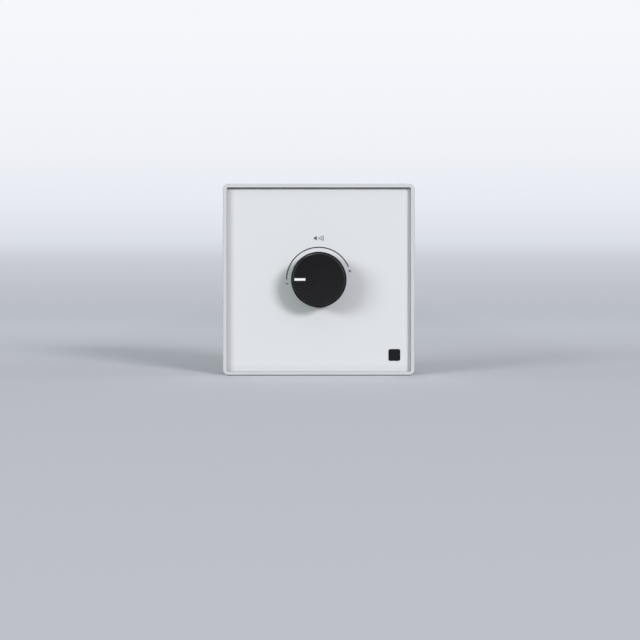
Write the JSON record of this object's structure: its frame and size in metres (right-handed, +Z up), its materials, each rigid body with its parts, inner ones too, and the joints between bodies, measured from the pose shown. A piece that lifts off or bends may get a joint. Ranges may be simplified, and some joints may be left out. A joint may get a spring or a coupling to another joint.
{
  "type": "wall volume control",
  "caption": "Square wall plate with a rotary knob and arc scale, a potentiometer on a steel chassis, and a pull-out wire plug behind a rear cover.",
  "frame": {"origin": "on the wall's surface, on the knob's axis, midway between the wall screws", "axes": "+X right as seen from the room, +Y into the wall along the knob's axis, +Z up"},
  "size_m": [0.086, 0.0505, 0.086],
  "materials": {
    "frame_plastic": "fine satin moulding",
    "plate_plastic": "smooth satin moulding",
    "mark_paint": "flat paint fill",
    "badge_plastic": "smooth",
    "knob_plastic": "fine matt texture",
    "pointer_plastic": "smooth",
    "chassis_steel": "zinc plated sheet",
    "nickel_plate": "nickel plated",
    "spring_steel": "bright spring steel",
    "shaft_alloy": "turned",
    "can_steel": "tinned sheet",
    "wafer_laminate": "paper laminate",
    "track_carbon": "printed carbon",
    "tinned_brass": "tin plated",
    "contact_bronze": "spring bronze",
    "board_laminate": "solder mask",
    "resistor_ceramic": "glazed",
    "capacitor_ceramic": "fired ceramic",
    "header_plastic": "glass filled",
    "plug_plastic": "glass filled",
    "cover_plastic": "fine spark texture",
    "rotor_plastic": "natural moulding",
    "screw_steel": "zinc plated",
    "cage_steel": "nickel plated"
  },
  "bodies": {
    "chassis": {"bezel_frame": "frame_plastic", "front_plate": "plate_plastic", "scale_marks": "mark_paint", "corner_badge": "badge_plastic", "mounting_chassis": "chassis_steel", "bushing_nut": "nickel_plate", "bushing_lock_washer": "nickel_plate", "pot_bushing": "nickel_plate", "pot_can": "can_steel", "track_wafer": "wafer_laminate", "resistance_tracks": "track_carbon", "pot_terminals": "tinned_brass", "terminal_rivets": "tinned_brass", "circuit_board": "board_laminate", "chip_resistors": "resistor_ceramic", "filter_capacitors": "capacitor_ceramic", "terminal_header": "header_plastic", "header_pins": "tinned_brass", "rear_cover": "cover_plastic", "cover_screws": "screw_steel", "board_screws": "screw_steel"},
    "knob": {"knob_body": "knob_plastic", "knob_pointer": "pointer_plastic", "knob_spring_clip": "spring_steel", "pot_shaft": "shaft_alloy", "rotor_disc": "rotor_plastic", "wiper": "contact_bronze", "shaft_circlip": "spring_steel"},
    "plug": {"plug_housing": "plug_plastic", "plug_contacts": "contact_bronze"},
    "clamp_screw_1": {"clamp_screw_1": "screw_steel"},
    "wire_cage_1": {"wire_cage_1": "cage_steel"},
    "clamp_screw_2": {"clamp_screw_2": "screw_steel"},
    "wire_cage_2": {"wire_cage_2": "cage_steel"},
    "clamp_screw_3": {"clamp_screw_3": "screw_steel"},
    "wire_cage_3": {"wire_cage_3": "cage_steel"}
  },
  "joints": [
    {"name": "knob_turn", "type": "hinge", "parent": "chassis", "child": "knob", "pos_m": [0, 0, 0], "axis": [0, 1, 0], "range_deg": [0, 157]},
    {"name": "plug_pull", "type": "slide", "parent": "chassis", "child": "plug", "axis": [0, 1, 0], "range_m": [0, 0.012]},
    {"name": "clamp_screw_1_turn", "type": "hinge", "parent": "plug", "child": "clamp_screw_1", "pos_m": [-0.00381, 0.0252, 0.013], "axis": [0, 0, -1], "range_deg": [0, 1080]},
    {"name": "wire_cage_1_lift", "type": "slide", "parent": "plug", "child": "wire_cage_1", "axis": [0, 0, 1], "range_m": [0, 0.0012]},
    {"name": "clamp_screw_2_turn", "type": "hinge", "parent": "plug", "child": "clamp_screw_2", "pos_m": [0, 0.0252, 0.013], "axis": [0, 0, -1], "range_deg": [0, 1080]},
    {"name": "wire_cage_2_lift", "type": "slide", "parent": "plug", "child": "wire_cage_2", "axis": [0, 0, 1], "range_m": [0, 0.0012]},
    {"name": "clamp_screw_3_turn", "type": "hinge", "parent": "plug", "child": "clamp_screw_3", "pos_m": [0.00381, 0.0252, 0.013], "axis": [0, 0, -1], "range_deg": [0, 1080]},
    {"name": "wire_cage_3_lift", "type": "slide", "parent": "plug", "child": "wire_cage_3", "axis": [0, 0, 1], "range_m": [0, 0.0012]}
  ],
  "couplings": [
    {"joint": "clamp_screw_1_turn", "follows": "wire_cage_1_lift", "rad_per_m": 15708},
    {"joint": "clamp_screw_2_turn", "follows": "wire_cage_2_lift", "rad_per_m": 15708},
    {"joint": "clamp_screw_3_turn", "follows": "wire_cage_3_lift", "rad_per_m": 15708}
  ]
}
